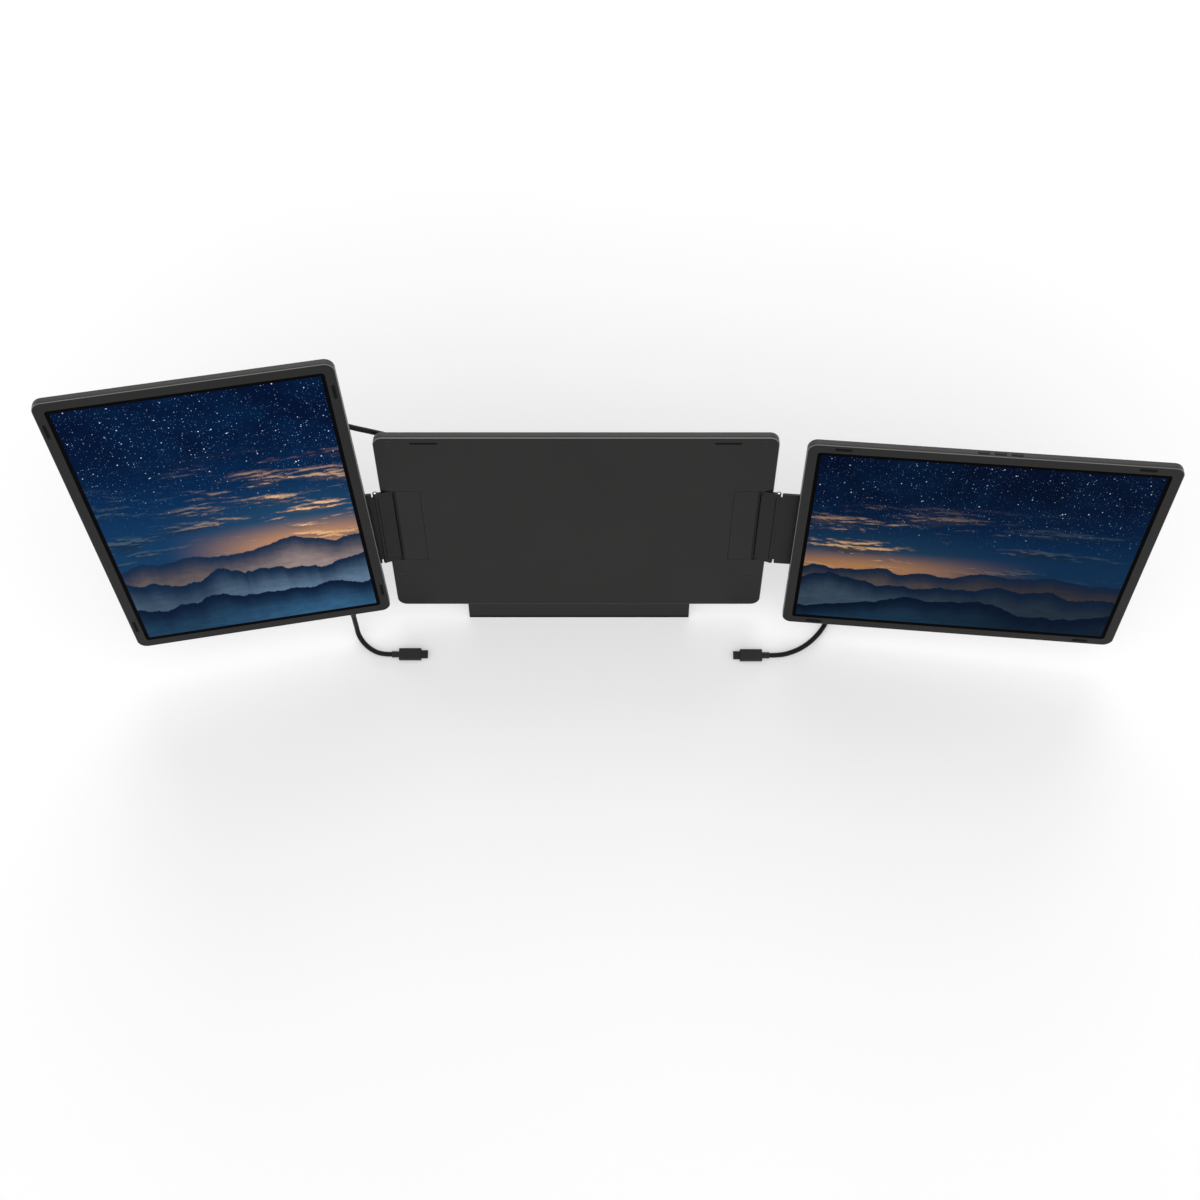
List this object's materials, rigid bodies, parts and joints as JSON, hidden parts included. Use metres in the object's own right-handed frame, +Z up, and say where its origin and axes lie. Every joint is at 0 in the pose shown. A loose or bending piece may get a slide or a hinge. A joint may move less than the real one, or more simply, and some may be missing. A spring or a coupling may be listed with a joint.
{
  "type": "laptop screen extender",
  "caption": "Folding screen extender for a laptop: centre frame on a stand, with hinged side monitors that turn between landscape and portrait.",
  "frame": {"origin": "middle of the foot's sole, where the centre frame stands on the desk", "axes": "+X to the user's right along the frame, the longest way; the user and the screens' faces are towards -Y; +Z up"},
  "size_m": [0.9571, 0.2055, 0.3262],
  "materials": {
    "frame_shell": "fine matte grain, charcoal",
    "bezel_plastic": "fine matte grain, charcoal",
    "monitor_shell": "fine matte grain, charcoal",
    "hinge_metal": "satin black coat",
    "stand_metal": "dark anodised",
    "pin_steel": "ground steel",
    "dark_steel": "blackened steel",
    "pad_rubber": "soft black",
    "screen_glass": "glossy display glass",
    "panel_body": "black display module",
    "circuit_board": "green solder mask",
    "socket_metal": "plated",
    "ring_plastic": "low friction, dark",
    "cap_plastic": "smooth matte black",
    "key_plastic": "smooth matte black",
    "cord_sleeve": "black jacket with a dull sheen",
    "cord_rubber": "moulded black"
  },
  "bodies": {
    "frame": {"foot_rail": "frame_shell", "foot_sole": "pad_rubber", "frame_front_cover": "frame_shell", "frame_pads": "pad_rubber", "frame_rear_cover": "frame_shell", "frame_screws": "dark_steel", "left_hinge_base": "hinge_metal", "left_hinge_cover": "hinge_metal", "left_inner_pin": "pin_steel", "right_hinge_base": "hinge_metal", "right_hinge_cover": "hinge_metal", "right_inner_pin": "pin_steel", "stand_pin": "pin_steel"},
    "left_arm_body": {"left_arm": "hinge_metal"},
    "left_monitor": {"left_backlight_module": "panel_body", "left_bezel": "bezel_plastic", "left_bezel_pads": "pad_rubber", "left_cord": "cord_sleeve", "left_cord_gland": "cord_rubber", "left_cord_plug": "cord_rubber", "left_driver_board": "circuit_board", "left_pivot_cap": "cap_plastic", "left_pivot_ring": "ring_plastic", "left_pivot_stud": "hinge_metal", "left_rear_cover": "monitor_shell", "left_screen_glass": "screen_glass", "left_screws": "dark_steel", "left_usb_socket": "socket_metal", "link_cord": "cord_sleeve", "link_cord_gland": "cord_rubber", "link_cord_plug": "cord_rubber"},
    "left_key_1_body": {"left_key_1": "key_plastic"},
    "left_key_2_body": {"left_key_2": "key_plastic"},
    "left_key_3_body": {"left_key_3": "key_plastic"},
    "left_link_body": {"left_link": "hinge_metal", "left_outer_pin": "pin_steel"},
    "right_arm_body": {"right_arm": "hinge_metal"},
    "right_monitor": {"right_backlight_module": "panel_body", "right_bezel": "bezel_plastic", "right_bezel_pads": "pad_rubber", "right_cord": "cord_sleeve", "right_cord_gland": "cord_rubber", "right_cord_plug": "cord_rubber", "right_driver_board": "circuit_board", "right_pivot_cap": "cap_plastic", "right_pivot_ring": "ring_plastic", "right_pivot_stud": "hinge_metal", "right_rear_cover": "monitor_shell", "right_screen_glass": "screen_glass", "right_screws": "dark_steel", "right_usb_socket": "socket_metal"},
    "right_key_1_body": {"right_key_1": "key_plastic"},
    "right_key_2_body": {"right_key_2": "key_plastic"},
    "right_key_3_body": {"right_key_3": "key_plastic"},
    "right_link_body": {"right_link": "hinge_metal", "right_outer_pin": "pin_steel"},
    "stand": {"stand_pad": "pad_rubber", "stand_plate": "stand_metal"}
  },
  "joints": [
    {"name": "stand_hinge", "type": "hinge", "parent": "frame", "child": "stand", "pos_m": [0, 0.0868, 0.14916], "axis": [1, 0, 0], "range_deg": [-38, 4]},
    {"name": "right_inner_hinge", "type": "hinge", "parent": "frame", "child": "right_link_body", "pos_m": [0.1696, 0.06354, 0.11917], "axis": [0, 0.4848, 0.8746], "range_deg": [-80, 0]},
    {"name": "right_outer_hinge", "type": "hinge", "parent": "right_link_body", "child": "right_arm_body", "pos_m": [0.1836, 0.05987, 0.12121], "axis": [0, 0.4848, 0.8746], "range_deg": [-94.5, 5.5]},
    {"name": "right_screen_pivot", "type": "hinge", "parent": "right_arm_body", "child": "right_monitor", "pos_m": [0.31141, 0.04911, 0.12718], "axis": [-0.0958, -0.8706, 0.4826], "range_deg": [0, 90]},
    {"name": "right_key_1_press", "type": "slide", "parent": "right_monitor", "child": "right_key_1_body", "axis": [0, -0.4848, -0.8746], "range_m": [0, 0.0005], "stiffness_N_per_m": 1200, "springref_m": -0.0003},
    {"name": "right_key_2_press", "type": "slide", "parent": "right_monitor", "child": "right_key_2_body", "axis": [0, -0.4848, -0.8746], "range_m": [0, 0.0005], "stiffness_N_per_m": 1200, "springref_m": -0.0003},
    {"name": "right_key_3_press", "type": "slide", "parent": "right_monitor", "child": "right_key_3_body", "axis": [0, -0.4848, -0.8746], "range_m": [0, 0.0005], "stiffness_N_per_m": 1200, "springref_m": -0.0003},
    {"name": "left_inner_hinge", "type": "hinge", "parent": "frame", "child": "left_link_body", "pos_m": [-0.1696, 0.06354, 0.11917], "axis": [0, 0.4848, 0.8746], "range_deg": [0, 80]},
    {"name": "left_outer_hinge", "type": "hinge", "parent": "left_link_body", "child": "left_arm_body", "pos_m": [-0.1836, 0.05987, 0.12121], "axis": [0, 0.4848, 0.8746], "range_deg": [-9.5, 90.5]},
    {"name": "left_screen_pivot", "type": "hinge", "parent": "left_arm_body", "child": "left_monitor", "pos_m": [-0.31024, 0.04134, 0.13148], "axis": [0.165, -0.8626, 0.4782], "range_deg": [0, 90]},
    {"name": "left_key_1_press", "type": "slide", "parent": "left_monitor", "child": "left_key_1_body", "axis": [0.9856, 0.1629, -0.0464], "range_m": [0, 0.0005], "stiffness_N_per_m": 1200, "springref_m": -0.0003},
    {"name": "left_key_2_press", "type": "slide", "parent": "left_monitor", "child": "left_key_2_body", "axis": [0.9856, 0.1629, -0.0464], "range_m": [0, 0.0005], "stiffness_N_per_m": 1200, "springref_m": -0.0003},
    {"name": "left_key_3_press", "type": "slide", "parent": "left_monitor", "child": "left_key_3_body", "axis": [0.9856, 0.1629, -0.0464], "range_m": [0, 0.0005], "stiffness_N_per_m": 1200, "springref_m": -0.0003}
  ]
}
